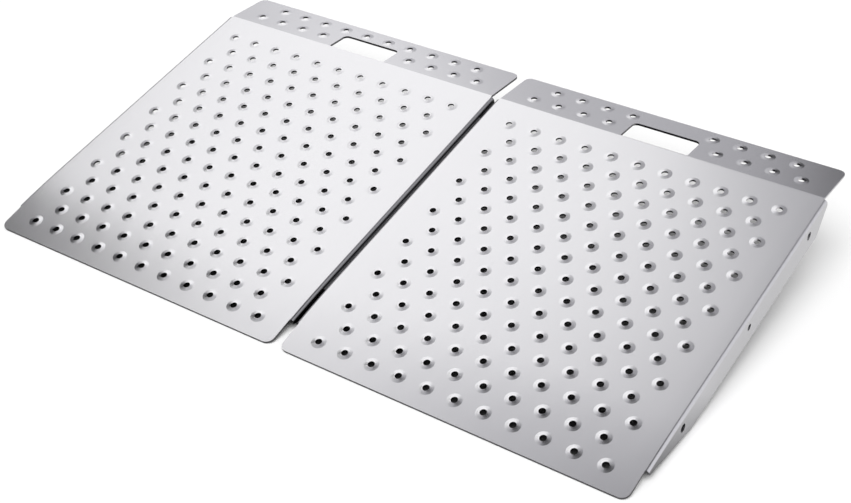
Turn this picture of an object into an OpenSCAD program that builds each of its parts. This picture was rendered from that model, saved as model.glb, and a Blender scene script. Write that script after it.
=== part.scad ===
// Folding threshold ramp: two folded sheet panels, hinged side by side along a hidden seam.
// Each panel is drawn flat in its own frame: x across, y up the slope from the toe edge,
// z square to the deck with 0 on its top. The whole ramp is then tilted until the lips lie level.

/* [Sheet] */
// Thickness of the aluminium sheet
sheet_t = 2.5; // [1.5:0.1:3.5]
// Inside radius of the flange bends
bend_r = 1.5; // [0.5:0.1:3]

/* [Panel] */
// Width of one panel across the outsides of its flanges
panel_w = 394; // [300:1:440]
// Length of the deck from the toe edge to the lip fold
deck_len = 416; // [340:1:460]
// Length of the lip behind the fold
lip_len = 60; // [58:1:90]
// Angle of the lip to the deck, and the slope at which the lip lies level
lip_angle = 12.5; // [12:0.5:16]
// Radius of the two corners at the toe
toe_corner_r = 9; // [2:0.5:16]
// Radius of the two rear corners of the lip
lip_corner_r = 8; // [2:0.5:12]

/* [Toe curve] */
// Length of the toe that curves down towards the floor
toe_curve_len = 100; // [60:1:140]
// Radius of that curve on top of the deck
toe_curve_r = 1250; // [900:10:2500]

/* [Flanges] */
// Depth of the side flanges below the top of the deck
flange_depth = 29.5; // [26:0.5:30]
// Length of bare toe in front of the flanges
flange_start = 35; // [20:1:60]
// Depth of the flange at its front end
flange_nose = 7; // [6.5:0.5:12]
// Distance from the toe edge at which the flange reaches its full depth
flange_full = 116; // [100:1:130]
// Distance in front of the fold at which the flange's lower edge turns up
flange_rise = 27; // [15:1:30]
// Length of bare deck between the flange's rear end and the fold
flange_tail = 2; // [1:0.5:6]
// Depth of the flange at its rear end
flange_tail_depth = 7; // [6.5:0.5:12]

/* [Flange holes] */
// Distance of the front flange hole from the toe edge
front_hole_y = 98; // [90:1:110]
// Distance of the rear flange hole in front of the fold
rear_hole_back = 46; // [40:1:60]
// Depth of the flange holes below the top of the deck
flange_hole_z = 11.5; // [11.5:0.5:14]
// Diameter of the front and rear flange holes
end_hole_d = 9; // [8.5:0.1:11]
// Diameter of the middle flange hole
middle_hole_d = 7; // [6.5:0.1:9]

/* [Drain holes] */
// Distance between holes along a row
hole_pitch = 32; // [30:0.5:34]
// Distance between rows
row_pitch = 25.5; // [24:0.1:26]
// Distance of the first row from the toe edge
first_row_y = 24; // [18:1:28]
// Least flat land between a collar and a flange bend
edge_land = 8; // [4:0.5:12]
// Least flat land between a collar and the lip fold
fold_land = 12; // [6:0.5:16]
// Distance of the first lip row behind the fold
lip_row_y = 19; // [14:0.5:22]
// Number of holes left out of the first lip row for the hand slot
slot_row_skip = 3; // [3:2:7]
// Diameter of a drain hole
hole_d = 7.3; // [6:0.1:8.4]
// Diameter of a raised collar at its foot
collar_d = 16; // [13:0.1:17]
// Diameter of a raised collar at its rim
collar_rim_d = 8.8; // [8.8:0.1:11]
// Height of a raised collar above the sheet
collar_h = 0.6; // [0.5:0.1:3]

/* [Hand slot] */
// Width of the hand slot across the lip
slot_w = 80; // [70:1:100]
// Length of the hand slot from front to back
slot_len = 33; // [28:0.5:34]
// Distance of the slot's front edge behind the fold
slot_front = 0.5; // [0.5:0.5:3]
// Radius of the slot's front corners
slot_front_r = 1.5; // [1:0.5:6]
// Radius of the slot's rear corners
slot_rear_r = 6; // [2:0.5:12]

/* [Hinge] */
// Thickness of a hinge leaf
leaf_t = 1.5; // [1.2:0.1:2.5]
// Running gap between the two closed hinge leaves
leaf_gap = 0.6; // [0.4:0.1:1]
// Depth of the leaves' top edge below the top of the deck
leaf_top = 4.5; // [4:0.5:5]
// Length of leaf beyond the end studs
leaf_margin = 12; // [10:0.5:16]
// Distance of the first knuckle from the toe edge
knuckle_start = 145; // [145:1:180]
// Number of knuckles along the hinge
knuckle_count = 9; // [5:2:13]
// End gap between neighbouring knuckles
knuckle_gap = 0.4; // [0.2:0.1:1]
// Gap between the barrel and the flange edges above it
barrel_clear = 0.5; // [0.4:0.1:2]
// Diameter of the hinge pin
pin_d = 4; // [3:0.5:5]
// Radial running clearance of the pin in its knuckles
pin_clear = 0.05; // [0.02:0.01:0.1]
// Diameter of the pin's head
pin_head_d = 6.5; // [5.5:0.5:7]
// Thickness of the pin's head
pin_head_t = 1.5; // [1:0.1:3]
// Length of pin behind the retaining clip
pin_tip = 1.5; // [1:0.1:4]
// Diameter of the push-on clip at the pin's rear end
clip_d = 7; // [6:0.1:7.5]
// Thickness of that clip
clip_t = 0.8; // [0.5:0.1:1.5]

/* [Fasteners] */
// Thread diameter of the front and rear studs
end_stud_d = 8; // [6:1:8]
// Thread diameter of the middle stud
middle_stud_d = 6; // [4:1:6]
// How far a stud's flush head is wider than its thread
stud_head_over = 4; // [3:0.5:5]
// Thickness of a stud's flush head
stud_head_t = 0.9; // [0.6:0.1:1]
// Length of stud that shows past its nut
stud_tip = 2; // [1:0.5:4]
// How far a washer is wider than its thread
washer_over = 7; // [4:0.5:7]
// Thickness of a washer
washer_t = 1.6; // [1:0.1:2]
// Width across flats of the front and rear nuts
end_nut_af = 13; // [12:0.5:14]
// Height of the hexagon of the front and rear nuts
end_nut_h = 6; // [4:0.5:8]
// Width across flats of the middle nut
middle_nut_af = 10; // [9:0.5:12]
// Height of the hexagon of the middle nut
middle_nut_h = 4.5; // [3:0.5:6]
// Height of the round locking collar on a nut
nut_collar_h = 2; // [1:0.1:3]
// Wall of that locking collar around the thread
nut_collar_wall = 1.6; // [1:0.1:2]
// Radial clearance of studs in leaves, washers and nuts
fit_clear = 0.05; // [0.02:0.01:0.2]

/* [Hidden] */
$fn = 48;
// Facets of the wide toe curve
toe_fn = 720;
// How far a cutting tool reaches past the surface that it cuts
cut = 1;

// Flange bend and the flat width between the two bends, which is also the toe's and lip's width
bend_out_r = bend_r + sheet_t;
flat_half = panel_w / 2 - bend_out_r;
flange_end = deck_len - flange_tail;
toe_angle = asin(toe_curve_len / toe_curve_r);

// Seam between the panels: the two leaves and their running gap fill it
seam_half = leaf_gap / 2 + leaf_t;
panel_x = seam_half + panel_w / 2;
flange_inside = seam_half + sheet_t;

// Flange holes: the middle one is half way between the other two
rear_hole_y = deck_len - rear_hole_back;
middle_hole_y = (front_hole_y + rear_hole_y) / 2;
end_holes = [front_hole_y, rear_hole_y];
middle_holes = [middle_hole_y];

// Hinge barrel below the flange edges
barrel_r = pin_d / 2 + pin_clear + leaf_t;
hinge_z = -(flange_depth + barrel_clear + barrel_r);
leaf_front = front_hole_y - leaf_margin;
leaf_rear = rear_hole_y + leaf_margin;
knuckle_len = (leaf_rear - knuckle_start) / knuckle_count;

// As many holes and rows as fit between the bends and in front of the fold
row_holes = 2 * floor((flat_half - edge_land - collar_d / 2) / hole_pitch) + 1;
deck_rows = floor((deck_len - fold_land - collar_d / 2 - first_row_y) / row_pitch) + 1;

// Slope of a collar's cone, and the level at which the cone inside it narrows to the hole
collar_slope = (collar_d - collar_rim_d) / (2 * collar_h);
inner_top = (collar_d - hole_d) / (2 * collar_slope) - sheet_t;
// How deep a cone starts inside the sheet, so that its buried foot stays short of the lip's rear edge
cone_edge_clear = 0.3;
cone_reach = lip_len - lip_row_y - row_pitch - collar_d / 2 - cone_edge_clear;
cone_sunk = min(sheet_t / 2, cone_reach / collar_slope);

// Ramp in use: toe edge on the floor, lip level, origin below the middle of its box
function turned_y(y, z) = y * cos(lip_angle) - z * sin(lip_angle);
function turned_z(y, z) = y * sin(lip_angle) + z * cos(lip_angle);
function toe_y(r) = toe_curve_len - r * sin(toe_angle);
function toe_z(r) = r * cos(toe_angle) - toe_curve_r;
toe_under_r = toe_curve_r - sheet_t;
use_lift = -turned_z(toe_y(toe_under_r), toe_z(toe_under_r));
use_front = turned_y(toe_y(toe_curve_r), toe_z(toe_curve_r));
use_back = turned_y(deck_len, 0) + lip_len;

// How far the deck's top has dropped at a distance from the toe edge
function toe_run(y) = max(toe_curve_len - y, 0);
function deck_drop(y) = toe_curve_r - sqrt(pow(toe_curve_r, 2) - pow(toe_run(y), 2));

// Depth of the tapered flange edge at a distance from the toe edge
function taper_depth(y) =
    flange_nose + (flange_depth - flange_nose) * (y - flange_start) / (flange_full - flange_start);

// Positions across a row of n holes, which is centred on the panel, and the number in each deck row
function row_xs(n) = [for (i = [0:n - 1]) (i - (n - 1) / 2) * hole_pitch];
function row_count(r) = r % 2 == 0 ? row_holes : row_holes - 1;

// Puts a piece drawn in the deck's frame where it stands in use
module in_use() {
    translate([0, -(use_front + use_back) / 2, use_lift])
        rotate([lip_angle, 0, 0])
            children();
}

// Mirrors a piece drawn on the right of the seam to the side asked for
module on_side(side) {
    mirror([side < 0 ? 1 : 0, 0, 0]) children();
}

// Frame of a point on the deck, and frame on the lip with y running back from the fold
module on_deck(x, y) {
    translate([x, y, -deck_drop(y)]) children();
}
module on_lip(x = 0, y = 0) {
    translate([0, deck_len, 0]) rotate([-lip_angle, 0, 0]) translate([x, y, 0]) children();
}

// Extrudes a side view, drawn as [y, z], across the ramp from x = 0
module across(width) {
    rotate([90, 0, 90]) linear_extrude(width) children();
}

// A channel's solid outline: flat top at z = 0 and two rounded upper edges
module channel_outline(width, depth, r) {
    translate([-width / 2, -depth]) square([width, depth - r]);
    translate([-width / 2 + r, -depth]) square([width - 2 * r, depth]);
    for (side = [-1, 1]) translate([side * (width / 2 - r), -r]) circle(r);
}

// Cross-section of the folded sheet: deck, two bends and two flanges
module channel_section() {
    difference() {
        channel_outline(panel_w, flange_depth, bend_out_r);
        translate([0, -sheet_t]) channel_outline(panel_w - 2 * sheet_t, flange_depth, bend_r);
    }
}

// The folded channel: straight from the flanges' rear end, then curved down to the toe edge
module channel() {
    translate([0, flange_end, 0])
        rotate([90, 0, 0])
            linear_extrude(flange_end - toe_curve_len) channel_section();
    translate([0, toe_curve_len, -toe_curve_r])
        rotate([0, -90, 180])
            rotate_extrude(angle = toe_angle, $fn = toe_fn)
                translate([toe_curve_r, 0]) rotate(-90) channel_section();
}

// The bare strip behind the flanges and the flat lip that is folded down from it
module lip() {
    fold_in = sheet_t * tan(lip_angle / 2);
    back = [deck_len + lip_len * cos(lip_angle), -lip_len * sin(lip_angle)];
    translate([-flat_half, 0, 0])
        across(2 * flat_half)
            polygon([
                [flange_end, 0], [deck_len, 0], back,
                back - sheet_t * [sin(lip_angle), cos(lip_angle)],
                [deck_len - fold_in, -sheet_t], [flange_end, -sheet_t]
            ]);
}

// What is cut off one square corner to round it; the corner is at the origin, the sheet at -x and +y
module corner_cut(r) {
    translate([-r, r, -flange_depth])
        linear_extrude(2 * flange_depth)
            difference() {
                translate([0, -r - cut]) square(r + cut);
                circle(r);
            }
}

// Opening of the hand slot, from its front edge at y = 0
module slot_outline() {
    translate([-slot_w / 2, slot_front_r]) square([slot_w, slot_len - slot_front_r - slot_rear_r]);
    translate([-slot_w / 2 + slot_front_r, 0]) square([slot_w - 2 * slot_front_r, slot_len / 2]);
    translate([-slot_w / 2 + slot_rear_r, slot_len / 2]) square([slot_w - 2 * slot_rear_r, slot_len / 2]);
    for (side = [-1, 1]) {
        translate([side * (slot_w / 2 - slot_front_r), slot_front_r]) circle(slot_front_r);
        translate([side * (slot_w / 2 - slot_rear_r), slot_len - slot_rear_r]) circle(slot_rear_r);
    }
}

// Trims the folded channel's flanges: bare toe, tapered front, raised rear and the stud holes
module flange_cuts() {
    for (side = [0, 1]) mirror([side, 0, 0]) translate([flat_half, 0, 0]) {
        translate([0, -cut, -2 * flange_depth]) cube([2 * bend_out_r, flange_start + cut, 3 * flange_depth]);
        across(2 * bend_out_r) polygon([
            [flange_start, -flange_nose], [flange_full, -flange_depth],
            [flange_full, -2 * flange_depth], [flange_start, -2 * flange_depth]
        ]);
        across(2 * bend_out_r) polygon([
            [deck_len - flange_rise, -flange_depth], [flange_end, -flange_tail_depth],
            [flange_end + cut, -flange_tail_depth], [flange_end + cut, -2 * flange_depth],
            [deck_len - flange_rise, -2 * flange_depth]
        ]);
        across(2 * bend_out_r) {
            for (y = end_holes) translate([y, -flange_hole_z]) circle(d = end_hole_d);
            for (y = middle_holes) translate([y, -flange_hole_z]) circle(d = middle_hole_d);
        }
    }
}

// Places a collar or its hole at every drain hole; the lip's rear row may be bare behind the slot
module at_drain_holes(bare_behind_slot) {
    for (r = [0:deck_rows - 1], x = row_xs(row_count(r)))
        on_deck(x, first_row_y + r * row_pitch) children();
    slot_reach = slot_row_skip * hole_pitch / 2;
    for (x = row_xs(row_holes))
        if (abs(x) > slot_reach) on_lip(x, lip_row_y) children();
    for (x = row_xs(row_holes - 1))
        if (!bare_behind_slot || abs(x) > slot_reach - hole_pitch) on_lip(x, lip_row_y + row_pitch) children();
}

// Outside of a raised collar, started inside the sheet
module collar_cone() {
    translate([0, 0, -cone_sunk])
        cylinder(h = collar_h + cone_sunk, d1 = collar_d + 2 * collar_slope * cone_sunk, d2 = collar_rim_d);
}

// Inside of a raised collar: the pressed-up cone below and the pierced hole above
module collar_hole() {
    below = sheet_t + cut;
    rotate_extrude() polygon([
        [0, -below],
        [hole_d / 2 + collar_slope * (inner_top + below), -below],
        [hole_d / 2, inner_top],
        [hole_d / 2, collar_h + cut],
        [0, collar_h + cut]
    ]);
}

// One folded panel with its collars, hand slot and flanges
module panel(bare_behind_slot) {
    color("gainsboro")
        difference() {
            union() {
                channel();
                lip();
                at_drain_holes(bare_behind_slot) collar_cone();
            }
            flange_cuts();
            for (side = [0, 1]) mirror([side, 0, 0]) {
                translate([flat_half, toe_y(toe_curve_r), 0]) corner_cut(toe_corner_r);
                on_lip(flat_half, lip_len) mirror([0, 1, 0]) corner_cut(lip_corner_r);
            }
            on_lip(0, slot_front)
                translate([0, 0, -flange_depth]) linear_extrude(2 * flange_depth) slot_outline();
            at_drain_holes(bare_behind_slot) collar_hole();
        }
}

module left_panel() {
    in_use() translate([-panel_x, 0, 0]) panel(false);
}

module right_panel() {
    in_use() translate([panel_x, 0, 0]) panel(true);
}

// A rod along the hinge line, from one distance up the slope to another
module hinge_rod(from_y, to_y, d) {
    translate([0, from_y, hinge_z]) rotate([-90, 0, 0]) cylinder(h = to_y - from_y, d = d);
}

// One hinge leaf on the right of the seam; first is 0 or 1 for the knuckle that it starts with
module hinge_leaf(first) {
    color("silver")
        difference() {
            union() {
                translate([leaf_gap / 2, 0, 0])
                    across(leaf_t)
                        polygon([
                            [leaf_front, -leaf_top], [leaf_rear, -leaf_top],
                            [leaf_rear, -flange_depth], [flange_full, -flange_depth],
                            [leaf_front, -taper_depth(leaf_front)]
                        ]);
                for (i = [first:2:knuckle_count - 1]) {
                    y0 = knuckle_start + i * knuckle_len + knuckle_gap / 2;
                    hinge_rod(y0, y0 + knuckle_len - knuckle_gap, 2 * barrel_r);
                    translate([leaf_gap / 2, y0, hinge_z])
                        cube([leaf_t, knuckle_len - knuckle_gap, -flange_depth - hinge_z + leaf_t]);
                }
            }
            hinge_rod(knuckle_start - cut, leaf_rear + cut, pin_d + 2 * pin_clear);
            translate([leaf_gap / 2, 0, 0]) {
                at_stations(end_holes) stud_seat(end_stud_d);
                at_stations(middle_holes) stud_seat(middle_stud_d);
            }
        }
}

// Frames on the flange hole axes, with z pointing away from the seam
module at_stations(ys) {
    for (y = ys) translate([0, y, -flange_hole_z]) rotate([0, 90, 0]) children();
}

// Seat of a flush-headed stud in the gap side of a leaf
module stud_seat(d) {
    translate([0, 0, -cut]) cylinder(h = stud_head_t + cut, d = d + stud_head_over + 2 * fit_clear);
    cylinder(h = leaf_t + cut, d = d + 2 * fit_clear);
}

// Flush-headed stud through leaf, flange, washer and nut
module stud(d, nut_h) {
    color("lightgray") {
        cylinder(h = stud_head_t, d = d + stud_head_over);
        cylinder(h = leaf_t + sheet_t + washer_t + nut_h + nut_collar_h + stud_tip, d = d);
    }
}

module washer(d) {
    color("lightgray")
        difference() {
            cylinder(h = washer_t, d = d + washer_over);
            translate([0, 0, -cut]) cylinder(h = washer_t + 2 * cut, d = d + 2 * fit_clear);
        }
}

// Lock nut: a hexagon with a round locking collar
module nut(d, af, h) {
    color("lightgray")
        difference() {
            union() {
                cylinder(h = h, d = af / cos(30), $fn = 6);
                cylinder(h = h + nut_collar_h, d = d + 2 * nut_collar_wall);
            }
            translate([0, 0, -cut]) cylinder(h = h + nut_collar_h + 2 * cut, d = d + 2 * fit_clear);
        }
}

// Pieces on the flange holes of one side, a distance away from the seam's middle
module fastened(side, ys, offset) {
    in_use() on_side(side) translate([offset, 0, 0]) at_stations(ys) children();
}

module left_hinge_leaf() {
    in_use() on_side(-1) hinge_leaf(0);
}

module right_hinge_leaf() {
    in_use() on_side(1) hinge_leaf(1);
}

// Pin with a head in front of the first knuckle and a plain tip for the clip behind the last
module hinge_pin() {
    color("silver") in_use() {
        hinge_rod(knuckle_start - pin_head_t, knuckle_start, pin_head_d);
        hinge_rod(knuckle_start, leaf_rear + clip_t + pin_tip, pin_d);
    }
}

module pin_clip() {
    color("lightgray")
        in_use() difference() {
            hinge_rod(leaf_rear, leaf_rear + clip_t, clip_d);
            hinge_rod(leaf_rear - cut, leaf_rear + clip_t + cut, pin_d + 2 * fit_clear);
        }
}

module left_end_studs() {
    fastened(-1, end_holes, leaf_gap / 2) stud(end_stud_d, end_nut_h);
}

module left_middle_stud() {
    fastened(-1, middle_holes, leaf_gap / 2) stud(middle_stud_d, middle_nut_h);
}

module left_end_washers() {
    fastened(-1, end_holes, flange_inside) washer(end_stud_d);
}

module left_middle_washer() {
    fastened(-1, middle_holes, flange_inside) washer(middle_stud_d);
}

module left_end_nuts() {
    fastened(-1, end_holes, flange_inside + washer_t) nut(end_stud_d, end_nut_af, end_nut_h);
}

module left_middle_nut() {
    fastened(-1, middle_holes, flange_inside + washer_t) nut(middle_stud_d, middle_nut_af, middle_nut_h);
}

module right_end_studs() {
    fastened(1, end_holes, leaf_gap / 2) stud(end_stud_d, end_nut_h);
}

module right_middle_stud() {
    fastened(1, middle_holes, leaf_gap / 2) stud(middle_stud_d, middle_nut_h);
}

module right_end_washers() {
    fastened(1, end_holes, flange_inside) washer(end_stud_d);
}

module right_middle_washer() {
    fastened(1, middle_holes, flange_inside) washer(middle_stud_d);
}

module right_end_nuts() {
    fastened(1, end_holes, flange_inside + washer_t) nut(end_stud_d, end_nut_af, end_nut_h);
}

module right_middle_nut() {
    fastened(1, middle_holes, flange_inside + washer_t) nut(middle_stud_d, middle_nut_af, middle_nut_h);
}

left_panel();
right_panel();
left_hinge_leaf();
right_hinge_leaf();
hinge_pin();
pin_clip();
left_end_studs();
left_middle_stud();
left_end_washers();
left_middle_washer();
left_end_nuts();
left_middle_nut();
right_end_studs();
right_middle_stud();
right_end_washers();
right_middle_washer();
right_end_nuts();
right_middle_nut();
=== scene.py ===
# %% [markdown]
# # A folding threshold ramp
# The ramp is a pair of folded aluminium sheets that lie side by side and fold about a hinge in the
# seam between them. Its solids come ready from CAD. This lesson dresses them: the sheets are modelled
# again with soft pressed collars and eased edges, every metal gets a finish of its own, and a plain
# studio is set up round them.

# %% Load the solids
import math

import bmesh
import bpy
from mathutils import Matrix, Vector


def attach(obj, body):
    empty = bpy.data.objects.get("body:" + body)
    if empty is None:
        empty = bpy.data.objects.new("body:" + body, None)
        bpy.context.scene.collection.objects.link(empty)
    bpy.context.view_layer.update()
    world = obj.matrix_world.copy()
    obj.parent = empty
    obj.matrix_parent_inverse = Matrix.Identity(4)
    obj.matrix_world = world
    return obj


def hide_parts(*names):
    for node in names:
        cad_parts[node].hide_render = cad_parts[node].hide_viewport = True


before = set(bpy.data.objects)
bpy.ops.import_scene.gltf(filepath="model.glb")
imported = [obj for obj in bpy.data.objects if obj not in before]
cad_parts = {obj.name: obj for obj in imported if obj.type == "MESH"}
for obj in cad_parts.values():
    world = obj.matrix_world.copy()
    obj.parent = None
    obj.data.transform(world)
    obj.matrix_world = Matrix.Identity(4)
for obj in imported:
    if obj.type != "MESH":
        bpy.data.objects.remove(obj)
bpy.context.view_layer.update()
print("nodes:", sorted(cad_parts))

# %% [markdown]
# ## The camera
# The photograph looks down on the ramp from the front right. The place, aim and lens below were found
# by matching the rows of holes, so the picture needs no lens shift. The camera leans over by about a
# degree, as a hand-held one does.

# %% Camera
PHOTO_WIDTH = 851
FOCAL_PIXELS = 1494.4
SENSOR_MM = 36.0
CAMERA_PLACE = Vector((0.7993, -1.0953, 0.9042))
CAMERA_AIM = Vector((-0.4793, 0.6739, -0.5622))
CAMERA_LEAN = math.radians(-1.17)

lens = bpy.data.cameras.new("ramp_camera")
lens.sensor_fit = "HORIZONTAL"
lens.sensor_width = SENSOR_MM
lens.lens = FOCAL_PIXELS * SENSOR_MM / PHOTO_WIDTH
camera = bpy.data.objects.new("ramp_camera", lens)
turn = CAMERA_AIM.to_track_quat("-Z", "Y").to_matrix() @ Matrix.Rotation(CAMERA_LEAN, 3, "Z")
camera.matrix_world = Matrix.Translation(CAMERA_PLACE) @ turn.to_4x4()
bpy.context.scene.collection.objects.link(camera)
bpy.context.scene.camera = camera
print("lens in mm:", round(lens.lens, 2))

# %% [markdown]
# ## Sizes
# One panel is drawn flat, as the blank that leaves the punch press, in millimetres: x across, y from
# the toe edge up the slope, z up from the top of the sheet. It is folded afterwards. The last three
# sizes then move it beside the seam and set it on the floor.

# %% Sizes of a panel
NEAR = 1e-3
SHEET = 2.5
BEND_R = 4.0
PANEL_HALF = 197.0
FLAT_HALF = PANEL_HALF - BEND_R
FOLD_Y = 416.0
LIP_LEN = 60.0
LIP_ANGLE = math.radians(12.5)
TOE_CURVE_LEN = 100.0
TOE_CURVE_R = 1250.0
PANEL_X = 198.8
USE_BACK = 233.503
USE_LIFT = 6.301


def toe_drop(y):
    """How far the deck has curved down at a distance from the toe edge."""
    run = max(TOE_CURVE_LEN - y, 0.0)
    return TOE_CURVE_R - math.sqrt(TOE_CURVE_R**2 - run**2)


print("drop of the toe edge in mm:", round(toe_drop(0.0), 2))

# %% [markdown]
# ## Rows of holes
# The deck's rows are staggered: every second one has a hole fewer and starts half a pitch further in.
# The lip has two rows, with a hand slot in the middle of the front one. On the left panel the rear row
# runs on behind the slot, and on the right panel that place is left bare.

# %% Places of the holes
HOLE_PITCH = 32.0
ROW_PITCH = 25.5
FIRST_ROW = 24.0
DECK_ROWS = 15
LONG_ROW_HOLES = 11
LIP_ROWS = (19.0, 44.5)
LIP_FRONT_REACH = 5
LIP_REAR_HOLES = 10
SLOT_HALF = 40.0
SLOT_FRONT = 0.5
SLOT_BACK = 33.5


def hole_places(bare_behind_slot):
    """Middles of all the collared holes of one panel, on the flat blank."""
    places = []
    for row in range(DECK_ROWS):
        count = LONG_ROW_HOLES - row % 2
        y = FIRST_ROW + ROW_PITCH * row
        places += [((k - (count - 1) / 2) * HOLE_PITCH, y) for k in range(count)]
    for k in range(-LIP_FRONT_REACH, LIP_FRONT_REACH + 1):
        if abs(k) > 1:
            places.append((k * HOLE_PITCH, FOLD_Y + LIP_ROWS[0]))
    for k in range(LIP_REAR_HOLES):
        x = (k - (LIP_REAR_HOLES - 1) / 2) * HOLE_PITCH
        if abs(x) > HOLE_PITCH or not bare_behind_slot:
            places.append((x, FOLD_Y + LIP_ROWS[1]))
    return places


print("holes on the left and right panel:", len(hole_places(False)), len(hole_places(True)))

# %% [markdown]
# ## Grid lines
# The blank will be a grid. A line runs through every place where a form starts or ends, so each hole
# gets a cell of the grid to itself and no edge has to be cut in later.

# %% Grid lines
QUARTER_PITCHES = 22
BEHIND_LAST_ROW = 404.0
FLANGE_END = FOLD_Y - 2.0
LIP_CELL_FRONT = 6.25
LIP_CELL_BACK = 55.0


def half_row(k):
    """The y of a line that lies k half row pitches behind the first row."""
    return FIRST_ROW + ROW_PITCH / 2 * k


inner_lines = [HOLE_PITCH / 4 * k for k in range(-QUARTER_PITCHES, QUARTER_PITCHES + 1)]
x_lines = [-FLAT_HALF] + inner_lines + [FLAT_HALF]
y_lines = [0.0] + [half_row(k) for k in range(-1, 2 * DECK_ROWS)]
y_lines += [BEHIND_LAST_ROW, FLANGE_END, FOLD_Y]
lip_lines = (SLOT_FRONT, LIP_CELL_FRONT, LIP_ROWS[0], SLOT_BACK, LIP_ROWS[1], LIP_CELL_BACK, LIP_LEN)
y_lines += [FOLD_Y + line for line in lip_lines]
print("grid:", len(x_lines), "by", len(y_lines), "lines")

# %% [markdown]
# ## One pressed collar
# A punch pierces the sheet and draws its rim up into a collar, which gives grip and lets water through.
# A collar is round, so a profile of a few points is spun about its middle. Hundreds of collars follow,
# so the profile has only the points that the eye needs: a soft foot, the flank, a narrow rim, the
# pierced wall and the hollow below. While a sheet is made, its faces carry a mark that tells collars and
# cut walls from the rest.

# %% Collar
FOOT_R = 8.1
COLLAR_SIDES = 12
COLLAR_PROFILE = (
    (FOOT_R, 0.0), (7.2, 0.09), (5.6, 0.29), (4.2, 0.49), (3.65, 0.54), (3.65, -1.6), (FOOT_R, -SHEET),
)
MARK = 1
WALL = 2


def spun_collar():
    """A mesh of one collar about the z axis, open at the two rings where it joins the sheet."""
    bm = bmesh.new()
    ring = [bm.verts.new((r, 0.0, z)) for r, z in COLLAR_PROFILE]
    line = [bm.edges.new(pair) for pair in zip(ring, ring[1:])]
    bmesh.ops.spin(
        bm, geom=ring + line, cent=(0, 0, 0), axis=(0, 0, 1), dvec=(0, 0, 0), angle=math.tau,
        steps=COLLAR_SIDES, use_merge=True, use_duplicate=False,
    )
    for f in bm.faces:
        f.material_index = MARK
    mesh = bpy.data.meshes.new("collar")
    bm.to_mesh(mesh)
    bm.free()
    return mesh


collar_mesh = spun_collar()
print("faces in a collar:", len(collar_mesh.polygons))

# %% [markdown]
# ## The blank
# The blank starts as a grid. The faces of each hole's cell are joined into one, inset, and drawn out to
# a circle of as many sides as a collar has. Those circles are marked, so that they can be taken out once
# the sheet has its thickness, without leaving walls where the collars go.

# %% Blank with a circle in every cell
CELL_INSET = 1.0


def cell_reach(row_y, y):
    """Half the length of a hole's cell, on the side of its row that y is on."""
    if row_y < FOLD_Y:
        return ROW_PITCH / 2
    edges = [line for line in y_lines if (line > row_y + 1 if y > row_y else line < row_y - 1)]
    return abs((edges[0] if y > row_y else edges[-1]) - row_y)


def hole_cells(bm, places):
    """The faces of the grid round each hole, by the hole's number."""
    cells = {}
    for f in bm.faces:
        c = f.calc_center_median()
        for k, (x, y) in enumerate(places):
            if abs(c.x - x) < HOLE_PITCH / 2 and abs(c.y - y) < cell_reach(y, c.y):
                cells.setdefault(k, []).append(f)
                break
    return cells


def flat_blank(places):
    """The top of the sheet before bending, with a marked circle for each collar."""
    bm = bmesh.new()
    nx, ny = len(x_lines) - 1, len(y_lines) - 1
    bmesh.ops.create_grid(bm, x_segments=nx, y_segments=ny, size=1.0)
    for v in bm.verts:
        i, j = round((v.co.x + 1) / 2 * nx), round((v.co.y + 1) / 2 * ny)
        v.co = (x_lines[i], y_lines[j], 0.0)
    joined = []
    for k, faces in hole_cells(bm, places).items():
        cell = bmesh.ops.dissolve_faces(bm, faces=faces, use_verts=False)["region"][0]
        joined.append((cell, places[k]))
    cells = [cell for cell, place in joined]
    bmesh.ops.inset_individual(bm, faces=cells, thickness=CELL_INSET, use_even_offset=True)
    side_turn = math.tau / COLLAR_SIDES
    for cell, (x, y) in joined:
        cell.material_index = MARK
        for v in cell.verts:
            a = round(math.atan2(v.co.y - y, v.co.x - x) / side_turn) * side_turn
            v.co = (x + FOOT_R * math.cos(a), y + FOOT_R * math.sin(a), 0.0)
    return bm


trial = flat_blank(hole_places(False))
print("faces of the left blank:", len(trial.faces))
trial.free()

# %% [markdown]
# ## Bends and flanges
# A press brake bends the two long edges down. Spinning the edge through a quarter turn gives the bend its
# true radius, and pulling the last edge straight down gives the flange. The flange tapers up to the toe
# and to the fold, so its lower edge is placed by the distance from the toe. It is drawn in three levels,
# which leave a cell for each bolt hole.

# %% Bend a flange
BEND_STEPS = 6
FLANGE_START = 35.0
FLANGE_FULL = 116.0
FLANGE_RISE = FOLD_Y - 27.0
FLANGE_DEPTH = 29.5
FLANGE_NOSE = 7.0
FLANGE_HOLE_DEPTH = 11.5
FLANGE_LINES = (FLANGE_HOLE_DEPTH, 19.0)
FLANGE_SHARES = (0.45, 0.8, 1.0)
LIP_SIDE_END = 51.0
SIDE_SNAPS = (
    (half_row(1), FLANGE_START),
    (half_row(7), FLANGE_FULL),
    (half_row(29), FLANGE_RISE),
    (FOLD_Y + LIP_CELL_BACK, FOLD_Y + LIP_SIDE_END),
)


def flange_depth(y):
    """Depth of the flange's lower edge below the flat blank, before the toe is curved."""
    if y < FLANGE_FULL:
        share = (y - FLANGE_START) / (FLANGE_FULL - FLANGE_START)
    else:
        share = min((FLANGE_END - y) / (FLANGE_END - FLANGE_RISE), 1.0)
    return FLANGE_NOSE + (FLANGE_DEPTH - FLANGE_NOSE) * share - toe_drop(y)


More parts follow.
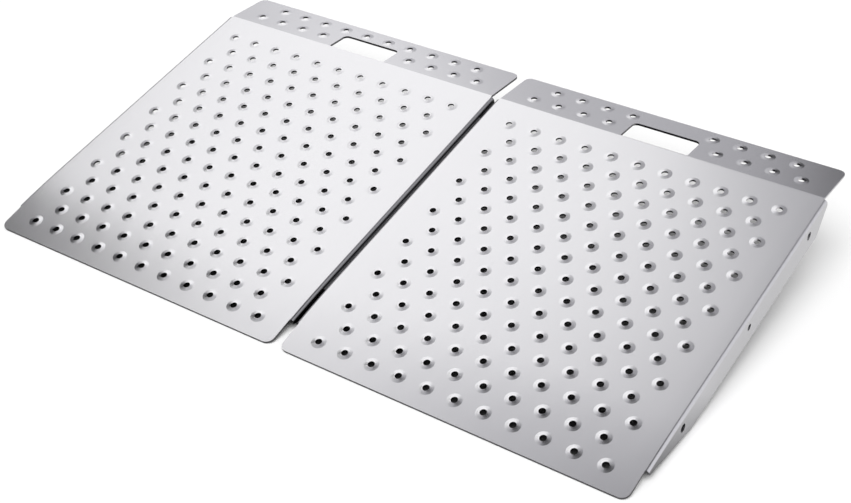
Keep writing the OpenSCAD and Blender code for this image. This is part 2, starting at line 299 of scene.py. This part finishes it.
def flange_edges(bm, side):
    """Moves a long side's points to where the flange starts and ends, and finds its edges."""
    for v in bm.verts:
        if abs(v.co.x - side * FLAT_HALF) < NEAR and abs(v.co.z) < NEAR:
            for old, new in SIDE_SNAPS:
                if abs(v.co.y - old) < NEAR:
                    v.co.y = new
    edges = []
    for e in bm.edges:
        low, high = sorted(v.co.y for v in e.verts)
        if all(abs(v.co.x - side * FLAT_HALF) < NEAR for v in e.verts):
            if low > FLANGE_START - 1 and high < FLANGE_END + 1:
                edges.append(e)
    return edges


def each_once(items):
    """Every item once, in the order in which they come."""
    return list(dict.fromkeys(items))


def is_level(edge):
    """True for an edge that runs along the flange, not down it."""
    a, b = (v.co for v in edge.verts)
    return abs(a.y - b.y) > NEAR


def bend_flange(bm, side):
    """Bends one long edge down and draws the flange from it."""
    edges = flange_edges(bm, side)
    geom = edges + each_once(v for e in edges for v in e.verts)
    bent = bmesh.ops.spin(
        bm, geom=geom, cent=(side * FLAT_HALF, 0, -BEND_R), axis=(0, 1, 0), dvec=(0, 0, 0),
        angle=side * math.pi / 2, steps=BEND_STEPS, use_duplicate=False,
    )["geom_last"]
    last = [e for e in bent if isinstance(e, bmesh.types.BMEdge)]
    for level, part in enumerate(FLANGE_SHARES):
        drawn = bmesh.ops.extrude_edge_only(bm, edges=last)["geom"]
        last = [e for e in drawn if isinstance(e, bmesh.types.BMEdge)]
        for v in each_once(v for e in last for v in e.verts):
            depth = flange_depth(v.co.y)
            share = BEND_R + (depth - BEND_R) * part
            v.co.z = -min(share, (FLANGE_LINES + (depth,))[level])
        last = [e for e in last if len(e.link_faces) == 1 and is_level(e)]


print("depth of the flange half way up in mm:", flange_depth(FOLD_Y / 2))

# %% [markdown]
# ## Bolt holes
# Three holes go through each flange: the hinge is bolted to the pair's inner flanges, and the outer ones
# have the same holes. A hole's cell is taken out, a circle is set in it, and the two are bridged.

# %% Drill a flange
FLANGE_HOLES = ((98.0, 4.5), (234.0, 3.5), (370.0, 4.5))
BOLT_HOLE_SIDES = 16


def drill_flange(bm, side):
    """Opens the three bolt holes of one flange."""
    upright = Matrix.Rotation(math.pi / 2, 4, "Y")
    for y, r in FLANGE_HOLES:
        middle = min(y_lines, key=lambda line: abs(line - y))
        faces = []
        for f in bm.faces:
            c = f.calc_center_median()
            on_flange = abs(c.x - side * PANEL_HALF) < NEAR
            if on_flange and abs(c.y - middle) < ROW_PITCH / 2 and c.z > -FLANGE_LINES[1]:
                faces.append(f)
        cell = bmesh.ops.dissolve_faces(bm, faces=faces, use_verts=False)["region"][0]
        rim = list(cell.edges)
        bmesh.ops.delete(bm, geom=[cell], context="FACES_ONLY")
        place = Matrix.Translation((side * PANEL_HALF, y, -FLANGE_HOLE_DEPTH)) @ upright
        made = bmesh.ops.create_circle(bm, cap_ends=False, radius=r, segments=BOLT_HOLE_SIDES, matrix=place)
        rim += each_once(e for v in made["verts"] for e in v.link_edges)
        bmesh.ops.bridge_loops(bm, edges=rim)


print("bolt holes in a flange:", len(FLANGE_HOLES))

# %% [markdown]
# ## Folding
# The finished blank is folded by moving its points: the toe sinks along a wide curve, and everything
# behind the fold turns down about the fold line. Then the whole sheet is tipped back until its lip lies
# level, and set beside the seam.

# %% Fold and place
TO_METRES = Matrix.Scale(0.001, 4)


def fold(bm):
    """Curves the toe and turns the lip down."""
    turned = Matrix.Rotation(-LIP_ANGLE, 3, "X")
    for v in bm.verts:
        x, y, z = v.co
        if y > FOLD_Y + NEAR:
            v.co = turned @ Vector((x, y - FOLD_Y, z)) + Vector((0, FOLD_Y, 0))
        elif y > FOLD_Y - NEAR:
            v.co.y += z * math.tan(LIP_ANGLE / 2)
        else:
            v.co.y -= max(z, -SHEET) * max(TOE_CURVE_LEN - y, 0.0) / TOE_CURVE_R
            v.co.z -= toe_drop(y)


def put_in_use(bm, side):
    """Tips a panel into the pose that it has in use, in metres."""
    place = Matrix.Translation((side * PANEL_X, -USE_BACK, USE_LIFT)) @ Matrix.Rotation(LIP_ANGLE, 4, "X")
    bmesh.ops.transform(bm, matrix=TO_METRES @ place, verts=bm.verts)


print("the lip turns down by", math.degrees(LIP_ANGLE), "degrees")

# %% [markdown]
# ## The hand slot and the thickness
# The slot is opened in the thin blank, and then the sheet gets its thickness from its outer side. The
# walls that this makes round the cut edges are marked, because only they will be eased.

# %% Slot and thickness


def cut_slot(bm):
    """Takes the hand slot out of the lip."""
    slot = []
    for f in bm.faces:
        c = f.calc_center_median()
        if abs(c.x) < SLOT_HALF and SLOT_FRONT < c.y - FOLD_Y < SLOT_BACK:
            slot.append(f)
    bmesh.ops.delete(bm, geom=slot, context="FACES")
    return len(slot)


def thicken(bm):
    """Gives the blank its thickness, opens the circles and marks the walls of the cut edges."""
    bmesh.ops.recalc_face_normals(bm, faces=bm.faces)
    if sum(f.normal.z * f.calc_area() for f in bm.faces) < 0:
        bmesh.ops.reverse_faces(bm, faces=bm.faces)
    outside = set(bm.verts)
    bmesh.ops.solidify(bm, geom=list(bm.faces), thickness=SHEET)
    circles = [f for f in bm.faces if f.material_index == MARK]
    bmesh.ops.delete(bm, geom=circles, context="FACES_ONLY")
    for f in bm.faces:
        if 0 < sum(v in outside for v in f.verts) < len(f.verts):
            f.material_index = WALL


trial = flat_blank(hole_places(False))
print("cells taken out for the slot:", cut_slot(trial))
trial.free()

# %% [markdown]
# ## Corners and edges
# The toe's, the lip's and the slot's corners are round on the real sheet, so that they don't catch a foot
# or a hand. Bevelling the upright edge at a corner rounds it. A second, small bevel takes the sharpness
# off all the cut edges, which then catch a thin line of light.

# %% Round and ease
TOE_CORNER_R = 9.0
LIP_CORNER_R = 8.0
SLOT_FRONT_R = 1.5
SLOT_BACK_R = 6.0
EASED = 0.25
CORNER_NEAR = 1e-2
ROUNDED = (
    (FLAT_HALF, 0.0, TOE_CORNER_R, 6),
    (FLAT_HALF, FOLD_Y + LIP_LEN, LIP_CORNER_R, 6),
    (SLOT_HALF, FOLD_Y + SLOT_FRONT, SLOT_FRONT_R, 2),
    (SLOT_HALF, FOLD_Y + SLOT_BACK, SLOT_BACK_R, 5),
)


def at_corner(v, x, y):
    """True for a point at a corner of the sheet, on either side of its middle."""
    return abs(abs(v.co.x) - x) < CORNER_NEAR and abs(v.co.y - y) < CORNER_NEAR


def round_corners(bm):
    """Rounds the toe's, the lip's and the slot's corners, seen from above."""
    for x, y, r, steps in ROUNDED:
        posts = [e for e in bm.edges if all(at_corner(v, x, y) for v in e.verts)]
        bmesh.ops.bevel(
            bm, geom=posts, offset=r, offset_type="OFFSET", segments=steps, profile=0.5, affect="EDGES",
            material=-1, clamp_overlap=False,
        )


def ease_edges(bm):
    """Takes the sharpness off the cut edges, where a wall meets the sheet's two sides."""
    edges = []
    for e in bm.edges:
        walls = sum(f.material_index == WALL for f in e.link_faces)
        if walls == 1 and len(e.link_faces) == 2:
            edges.append(e)
    bmesh.ops.bevel(
        bm, geom=edges, offset=EASED, offset_type="OFFSET", segments=2, profile=0.5, affect="EDGES",
        material=-1, clamp_overlap=True,
    )
    for f in bm.faces:
        f.material_index = 0


print("rounded corners on a panel:", 2 * len(ROUNDED))

# %% [markdown]
# ## Collars, wear and painted shade
# Copies of the one collar are set into the open circles and welded to them. While the sheet is still flat,
# two attributes are noted: the rims are worn and polished, and the bends at the seam and on the left side,
# which lie in shade, get painted shade, a grey painted into their colour. The finish reads them later.

# %% Collars, wear and painted shade
WELD = 0.01
RIM_LEVEL = 0.4
# Which sides of each panel get a bend greyed with painted shade.
SHADE_PAINTED_BENDS = {-1: (-1, 1), 1: (-1,)}


def press_collars(bm, places):
    """Sets a collar into every open circle and welds it to the sheet."""
    field = bmesh.new()
    for x, y in places:
        before = len(field.verts)
        field.from_mesh(collar_mesh)
        field.verts.ensure_lookup_table()
        bmesh.ops.translate(field, vec=(x, y, 0.0), verts=field.verts[before:])
    collars = bpy.data.meshes.new("collars")
    field.to_mesh(collars)
    field.free()
    bm.from_mesh(collars)
    bmesh.ops.remove_doubles(bm, verts=bm.verts, dist=WELD)


def mark_wear_and_shade(bm, side):
    """Notes how polished each point of a flat sheet is, and how much painted shade greys its bends."""
    rubbed = bm.verts.layers.float.new("rubbed")
    painted_shade = bm.verts.layers.float.new("painted_shade")
    for v in bm.verts:
        v[rubbed] = 1.0 if v.co.z > RIM_LEVEL else 0.0
        past_flat = max(bend * v.co.x for bend in SHADE_PAINTED_BENDS[side]) - FLAT_HALF
        v[painted_shade] = min(max(past_flat / BEND_R, 0.0), 1.0) if v.co.z > -2 * BEND_R else 0.0


print("dulled bends of the left and right panel:", SHADE_PAINTED_BENDS[-1], SHADE_PAINTED_BENDS[1])

# %% [markdown]
# ## The panel
# The steps meet here. Faces are shaded smooth, and an edge stays sharp where it turns a lot or where a
# collar's foot meets the sheet. Weighted normals keep the large flat faces flat in their reflections.

# %% Panel
SHARP = math.radians(38)


def shade(bm):
    """Points all faces outwards and tells smooth edges from sharp ones."""
    bmesh.ops.recalc_face_normals(bm, faces=bm.faces)
    for e in bm.edges:
        at_foot = len({f.material_index for f in e.link_faces}) > 1
        e.smooth = not at_foot and e.calc_face_angle(0.0) < SHARP
    for f in bm.faces:
        f.smooth = True
        f.material_index = 0


def make_panel(name, side, bare_behind_slot):
    """One folded sheet with all its collars."""
    places = hole_places(bare_behind_slot)
    bm = flat_blank(places)
    for flange_side in (-1, 1):
        bend_flange(bm, flange_side)
        drill_flange(bm, flange_side)
    cut_slot(bm)
    thicken(bm)
    round_corners(bm)
    ease_edges(bm)
    press_collars(bm, places)
    mark_wear_and_shade(bm, side)
    fold(bm)
    put_in_use(bm, side)
    shade(bm)
    mesh = bpy.data.meshes.new(name)
    bm.to_mesh(mesh)
    open_edges = sum(len(e.link_faces) != 2 for e in bm.edges)
    bm.free()
    panel = bpy.data.objects.new(name, mesh)
    panel.modifiers.new("flat_faces", "WEIGHTED_NORMAL").keep_sharp = True
    bpy.context.scene.collection.objects.link(panel)
    print(name, "faces:", len(mesh.polygons), "open edges:", open_edges)
    return panel


left_sheet = make_panel("left_sheet", -1, False)
right_sheet = make_panel("right_sheet", 1, True)
rides = ((left_sheet, "left_half", "left_panel"), (right_sheet, "right_half", "right_panel"))
for sheet, body, node in rides:
    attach(sheet, body)
    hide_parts(node)

# %% [markdown]
# ## Writing finishes
# A finish is a small network of shader nodes. The class below wraps a socket, so that plain sums such as
# 1 - mask add the Math nodes by themselves. A second class holds the network, and one method of it adds
# every other kind of node.

# %% Shader sums


class Tone:
    """A socket of a finish, on which sums can be written."""

    def __init__(self, finish, socket):
        self.finish = finish
        self.socket = socket

    def sum(self, operation, first, second):
        return self.finish.node("ShaderNodeMath", {"operation": operation}, {0: first, 1: second})

    def __add__(self, other):
        return self.sum("ADD", self, other)

    def __radd__(self, other):
        return self.sum("ADD", other, self)

    def __sub__(self, other):
        return self.sum("SUBTRACT", self, other)

    def __rsub__(self, other):
        return self.sum("SUBTRACT", other, self)

    def __mul__(self, other):
        return self.sum("MULTIPLY", self, other)

    def __rmul__(self, other):
        return self.sum("MULTIPLY", other, self)


# %% Nodes of a finish


class Finish:
    """A material, or the world, and the nodes that are added to it."""

    def __init__(self, owner):
        owner.use_nodes = True
        self.tree = owner.node_tree
        self.tree.nodes.clear()

    def node(self, kind, settings=None, inputs=None, output=0):
        """Adds a node of a kind, sets it up, feeds its sockets and gives back one output."""
        made = self.tree.nodes.new(kind)
        for key, value in (settings or {}).items():
            setattr(made, key, value)
        for key, value in (inputs or {}).items():
            if isinstance(value, Tone):
                self.tree.links.new(value.socket, made.inputs[key])
            else:
                made.inputs[key].default_value = value
        return Tone(self, made.outputs[output]) if made.outputs else None

    def mix(self, share, low, high):
        """A colour between two others."""
        return self.node(
            "ShaderNodeMix", {"data_type": "RGBA"}, {"Factor": share, 6: low, 7: high}, output=2
        )


# %% [markdown]
# ## Noise along the sheet
# Rolled metal has a fine grain along its length, and faint clouds from the mill. Both are noise on the
# piece's own coordinates: the grain is drawn out along the slope, and the clouds are not.

# %% Noise
MILL_TURN = (-LIP_ANGLE, 0.0, 0.0)
GRAIN_STRETCH = (1.0, 0.02, 0.25)
CLOUD_SCALE = 7.0
SPECK_SCALE = 900.0
NOISE_ROUGHNESS = 0.55


def noise(finish, place, scale, stretch=(1.0, 1.0, 1.0), detail=3.0):
    """Noise on the piece's own coordinates, drawn out along the sheet by the stretch."""
    drawn = finish.node(
        "ShaderNodeMapping", None, {"Vector": place, "Rotation": MILL_TURN, "Scale": stretch}
    )
    return finish.node(
        "ShaderNodeTexNoise", None,
        {"Vector": drawn, "Scale": scale, "Detail": detail, "Roughness": NOISE_ROUGHNESS},
    )


print("grain is drawn out", round(GRAIN_STRETCH[0] / GRAIN_STRETCH[1]), "times")

# %% [markdown]
# ## Metal finishes
# The sheet is satin aluminium, the hinge brushed stainless steel and the fasteners bright zinc, the last two
# painted darker than these metals are, as painted shade for the seam. None of the grain is printed on:
# grain, clouds and specks move the roughness and the brightness a little, and a very shallow bump catches
# the light. On the sheet the polished rims are smoother, and painted shade greys the bends at the seam and
# on the left side.

# %% Metal finishes
GRAIN_IN_COLOUR = 0.2
CLOUDS_IN_COLOUR = 0.8
ROUGH_BY_GRAIN = 0.03
ROUGH_BY_CLOUDS = 0.05
ROUGH_BY_SPECKS = 0.01
SPECKS_IN_BUMP = 0.2
BUMP_STRENGTH = 0.02
# The grey of the painted shade on the bends beside the seam and on the left side.
PAINTED_SHADE_GREY = (0.16, 0.16, 0.165, 1.0)


def metal_finish(name, dark, light, rough, grain_scale, grain_depth, rub=0.0):
    """A metal with a rolled grain and soft clouds, and where it has a rub, polished rims of wear and painted
    shade on the bends.
    """
    material = bpy.data.materials.new(name)
    finish = Finish(material)
    place = finish.node("ShaderNodeTexCoord", output="Object")
    grain = noise(finish, place, grain_scale, GRAIN_STRETCH)
    clouds = noise(finish, place, CLOUD_SCALE, detail=4.0)
    specks = noise(finish, place, SPECK_SCALE, detail=1.0)
    share = GRAIN_IN_COLOUR * grain + CLOUDS_IN_COLOUR * clouds
    colour = finish.mix(share, (*dark, 1.0), (*light, 1.0))
    dull = rough + ROUGH_BY_GRAIN * (grain - 0.5) + ROUGH_BY_CLOUDS * (clouds - 0.5)
    dull = dull + ROUGH_BY_SPECKS * (specks - 0.5)
    if rub:
        rubbed = finish.node("ShaderNodeAttribute", {"attribute_name": "rubbed"}, output="Fac")
        dull = dull - rub * rubbed
        # Painted shade: the bends that lie in shade take a grey into their colour.
        painted_shade = finish.node("ShaderNodeAttribute", {"attribute_name": "painted_shade"}, output="Fac")
        colour = finish.mix(painted_shade, colour, PAINTED_SHADE_GREY)
    height = grain + SPECKS_IN_BUMP * specks
    bump = finish.node(
        "ShaderNodeBump", None, {"Strength": BUMP_STRENGTH, "Distance": grain_depth, "Height": height}
    )
    shader = finish.node(
        "ShaderNodeBsdfPrincipled", None,
        {"Base Color": colour, "Metallic": 1.0, "Roughness": dull, "Normal": bump},
    )
    finish.node("ShaderNodeOutputMaterial", None, {"Surface": shader})
    return material


satin_aluminium = metal_finish(
    "satin_aluminium", (0.928, 0.922, 0.944), (0.968, 0.962, 0.985), 0.25, 420.0, 0.00006, rub=0.06
)
# The hinge's and the fasteners' colours are painted darker than stainless steel and zinc are: painted shade,
# so that the seam they sit in looks dark.
stainless_painted_dark = metal_finish(
    "stainless_painted_dark", (0.27, 0.27, 0.28), (0.37, 0.37, 0.375), 0.34, 700.0, 0.00005
)
zinc_painted_dark = metal_finish("zinc_painted_dark", (0.40, 0.41, 0.43), (0.54, 0.54, 0.53), 0.28, 300.0, 0.00003)
print("finishes:", [m.name for m in bpy.data.materials])

# %% [markdown]
# ## Dressing the pieces
# The two sheets take the aluminium. The hinge's leaves and pin and the small fasteners keep the meshes that
# came from CAD, and get their own metals, painted darker as shade for the seam.

# %% Dress the pieces


def dress(piece, material):
    """Gives a piece one finish all over."""
    piece.data.materials.clear()
    piece.data.materials.append(material)


for sheet in (left_sheet, right_sheet):
    dress(sheet, satin_aluminium)
for name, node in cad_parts.items():
    if "hinge" in name:
        dress(node, stainless_painted_dark)
    elif "panel" not in name:
        dress(node, zinc_painted_dark)
print("dressed nodes:", len(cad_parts))

# %% [markdown]
# ## The floor
# The ramp lies on a plain pale floor in a white studio. The floor is a single large square, a hair below the
# ramp so that the two never share a surface.

# %% Floor
FLOOR_HALF = 12.0
FLOOR_DROP = 0.0003

floor_mesh = bpy.data.meshes.new("floor")
floor_bm = bmesh.new()
bmesh.ops.create_grid(floor_bm, x_segments=1, y_segments=1, size=FLOOR_HALF)
floor_bm.to_mesh(floor_mesh)
floor_bm.free()
floor = bpy.data.objects.new("floor", floor_mesh)
floor.location.z = -FLOOR_DROP
bpy.context.scene.collection.objects.link(floor)
print("side of the floor in m:", 2 * FLOOR_HALF)

# %% [markdown]
# ## The floor's tone
# Little light reaches the floor below the decks. Ambient Occlusion tells how far a place is covered, and
# covered places are painted darker, except in front of the flanges' noses, where the photograph's floor
# stays white. The photograph's metal also shows dark surroundings in its low edges and hole walls, so the
# floor is toned down where a reflection sees it, and least beside the right flange.

# %% Tone of the floor
SHADE_REACH = 0.25
COVERED, OPEN = 0.09, 0.33
DEEPEST_SHADE = 0.08
NOSE_AT_SEAM = (0.028, 0.018)
NOSE_AT_SIDE = (0.372, 0.382)
NOSE_FRONT = (-0.184, -0.193)
MIRRORED_ALONG = (-0.22, -0.06)
MIRRORED_ACROSS = (0.25, 0.42)
MIRRORED_DARK = 0.09
MIRRORED_LIGHT = 0.56
FLOOR_BLACK = (0.0, 0.0, 0.0, 1.0)
FLOOR_PALE = (0.97, 0.97, 0.97, 1.0)

floor_paint = bpy.data.materials.new("pale_floor")
floor_finish = Finish(floor_paint)


def ease(value, low, high, start=0.0, end=1.0, curve="SMOOTHSTEP"):
    """A step of the floor's tone between two levels of a value."""
    return floor_finish.node(
        "ShaderNodeMapRange", {"interpolation_type": curve},
        {"Value": value, "From Min": low, "From Max": high, "To Min": start, "To Max": end},
    )


openness = floor_finish.node(
    "ShaderNodeAmbientOcclusion", {"samples": 8}, {"Distance": SHADE_REACH}, output="AO"
)
lit = ease(openness, COVERED, OPEN, DEEPEST_SHADE)
spot = floor_finish.node("ShaderNodeTexCoord", output="Object")
along = floor_finish.node("ShaderNodeSeparateXYZ", None, {"Vector": spot}, output="Y")
across = floor_finish.node("ShaderNodeSeparateXYZ", None, {"Vector": spot}, output="X")
from_seam = floor_finish.node("ShaderNodeMath", {"operation": "ABSOLUTE"}, {0: across})
before_nose = (ease(from_seam, *NOSE_AT_SEAM) + ease(from_seam, *NOSE_AT_SIDE)) * ease(along, *NOSE_FRONT)
lit = floor_finish.node("ShaderNodeMath", {"operation": "MAXIMUM"}, {0: lit, 1: before_nose})
print("nodes in the floor's shade:", len(floor_paint.node_tree.nodes))

# %% Paint the floor
mirrored = ease(along, *MIRRORED_ALONG, MIRRORED_DARK, MIRRORED_LIGHT, "LINEAR")
mirrored = MIRRORED_DARK + (mirrored - MIRRORED_DARK) * ease(across, *MIRRORED_ACROSS)
in_metal = floor_finish.node("ShaderNodeLightPath", output="Is Glossy Ray")
share = lit * (1.0 - in_metal * (1.0 - mirrored))
tone = floor_finish.mix(share, FLOOR_BLACK, FLOOR_PALE)
pale = floor_finish.node(
    "ShaderNodeBsdfPrincipled", None, {"Base Color": tone, "Roughness": 1.0, "Specular IOR Level": 0.0}
)
floor_finish.node("ShaderNodeOutputMaterial", None, {"Surface": pale})
dress(floor, floor_paint)
print("nodes in the floor's paint:", len(floor_paint.node_tree.nodes))

# %% [markdown]
# ## The room and the key light
# The room is white to the eye and in the metal, and lights the ramp at a lower level. A very soft key light
# from high up at the front right adds the rest, so that a colour renders about as it is written. The key
# light itself doesn't show in the metal.

# %% Room light
ROOM_LEVEL = 0.35
WHITE = (1.0, 1.0, 1.0, 1.0)

world = bpy.data.worlds.new("studio")
bpy.context.scene.world = world
room = Finish(world)
seen = room.node("ShaderNodeLightPath", output="Is Camera Ray")
glossy = room.node("ShaderNodeLightPath", output="Is Glossy Ray")
clear = room.node("ShaderNodeLightPath", output="Is Transmission Ray")
white = room.node("ShaderNodeMath", {"operation": "MINIMUM"}, {0: seen + glossy + clear, 1: 1.0})
level = ROOM_LEVEL + (1.0 - ROOM_LEVEL) * white
backdrop = room.node("ShaderNodeBackground", None, {"Color": WHITE, "Strength": level})
room.node("ShaderNodeOutputWorld", None, {"Surface": backdrop})
print("level of the room's light:", ROOM_LEVEL)

# %% Key light
KEY_FROM = Vector((0.22, -0.40, 0.89))
KEY_ENERGY = 2.6
KEY_SPREAD = math.radians(60)

key_data = bpy.data.lights.new("key", "SUN")
key_data.energy = KEY_ENERGY
key_data.angle = KEY_SPREAD
key = bpy.data.objects.new("key", key_data)
key.rotation_euler = (-KEY_FROM).to_track_quat("-Z", "Y").to_euler()
key.visible_glossy = False
bpy.context.scene.collection.objects.link(key)
print("height of the key light in degrees:", round(math.degrees(math.asin(KEY_FROM.normalized().z))))

# %% [markdown]
# ## Flags
# Metal shows what stands round it. Grey flags that only reflections see stand round the ramp, and leave open
# one wide window of the white room at the back left, as the flags round a soft box do. Each is a strip of a
# sphere: an arc of a few points, spun about the upright axis.

# %% A flag
FLAG_DISTANCE = 40.0
FLAG_STEP = math.radians(6)
FLAG_TINT = (0.985, 0.98, 1.025, 1.0)
FLAG_UNSEEN_BY = ("visible_camera", "visible_diffuse", "visible_transmission", "visible_shadow")


def flag_mesh(name, from_turn, to_turn, from_height, to_height):
    """A strip of a sphere between two bearings and two heights, in degrees.

    A bearing is from straight ahead up the slope, and is positive towards the right.
    """
    bm = bmesh.new()
    low, high = math.radians(from_height), math.radians(to_height)
    steps = max(round((high - low) / FLAG_STEP), 1)
    start = Matrix.Rotation(math.radians(-from_turn), 3, "Z")
    post = []
    for k in range(steps + 1):
        a = low + (high - low) * k / steps
        post.append(bm.verts.new(start @ Vector((0, math.cos(a), math.sin(a))) * FLAG_DISTANCE))
    edges = [bm.edges.new(pair) for pair in zip(post, post[1:])]
    sweep = math.radians(from_turn - to_turn)
    bmesh.ops.spin(
        bm, geom=post + edges, cent=(0, 0, 0), axis=(0, 0, 1), dvec=(0, 0, 0), angle=sweep,
        steps=max(round(abs(sweep) / FLAG_STEP), 1), use_duplicate=False,
    )
    mesh = bpy.data.meshes.new(name)
    bm.to_mesh(mesh)
    bm.free()
    return mesh


def raise_flag(name, level, *reach):
    """A grey flag of one level of light, over a reach of bearings and heights."""
    card = bpy.data.objects.new(name, flag_mesh(name, *reach))
    bpy.context.scene.collection.objects.link(card)
    for ray in FLAG_UNSEEN_BY:
        setattr(card, ray, False)
    paint = bpy.data.materials.new(name)
    finish = Finish(paint)
    glow = finish.node("ShaderNodeEmission", None, {"Color": FLAG_TINT, "Strength": level})
    finish.node("ShaderNodeOutputMaterial", None, {"Surface": glow})
    dress(card, paint)


print("a flag's facets are", round(math.degrees(FLAG_STEP)), "degrees wide")

# %% [markdown]
# ## Where the flags stand
# Each row gives a flag's level of light, its two bearings and its two heights. The dark ones at the left and
# the right shade the lower left corner of the deck and the right end of the lip, and the one overhead shades
# the near flanks of the collars. The rest are greys, so the metal looks like metal from the other sides too.

# %% All the flags
FLAGS = {
    "zenith_flag": (0.03, -180, 180, 71.5, 89.9),
    "top_flag": (0.47, -180, -38, 60, 71.5),
    "top_right_flag": (0.33, -38, 180, 60, 71.5),
    "left_flag": (0.03, -112, -72, 28, 50),
    "left_low_flag": (0.42, -112, -72, 0, 28),
    "left_high_flag": (0.10, -112, -91, 50, 60),
    "left_front_flag": (0.42, -180, -112, 0, 60),
    "low_far_flag": (0.34, -72, -66, 0, 40),
    "low_flag": (0.36, -66, -54, 0, 35),
    "low_middle_flag": (0.44, -54, -42, 0, 30),
    "low_near_flag": (0.57, -42, -34, 0, 26),
    "right_inner_flag": (0.46, -34, -18, 0, 36),
    "right_flag": (0.01, -18, 40, 16, 36),
    "right_low_flag": (0.36, -18, 40, 0, 16),
    "right_upper_flag": (0.36, -31.5, -18, 36, 60),
    "right_far_flag": (0.28, -18, 40, 36, 60),
    "right_side_flag": (0.65, 40, 180, 0, 60),
}
for name, row in FLAGS.items():
    raise_flag(name, *row)
bpy.context.scene.view_settings.view_transform = "Standard"
print("flags:", len(FLAGS))
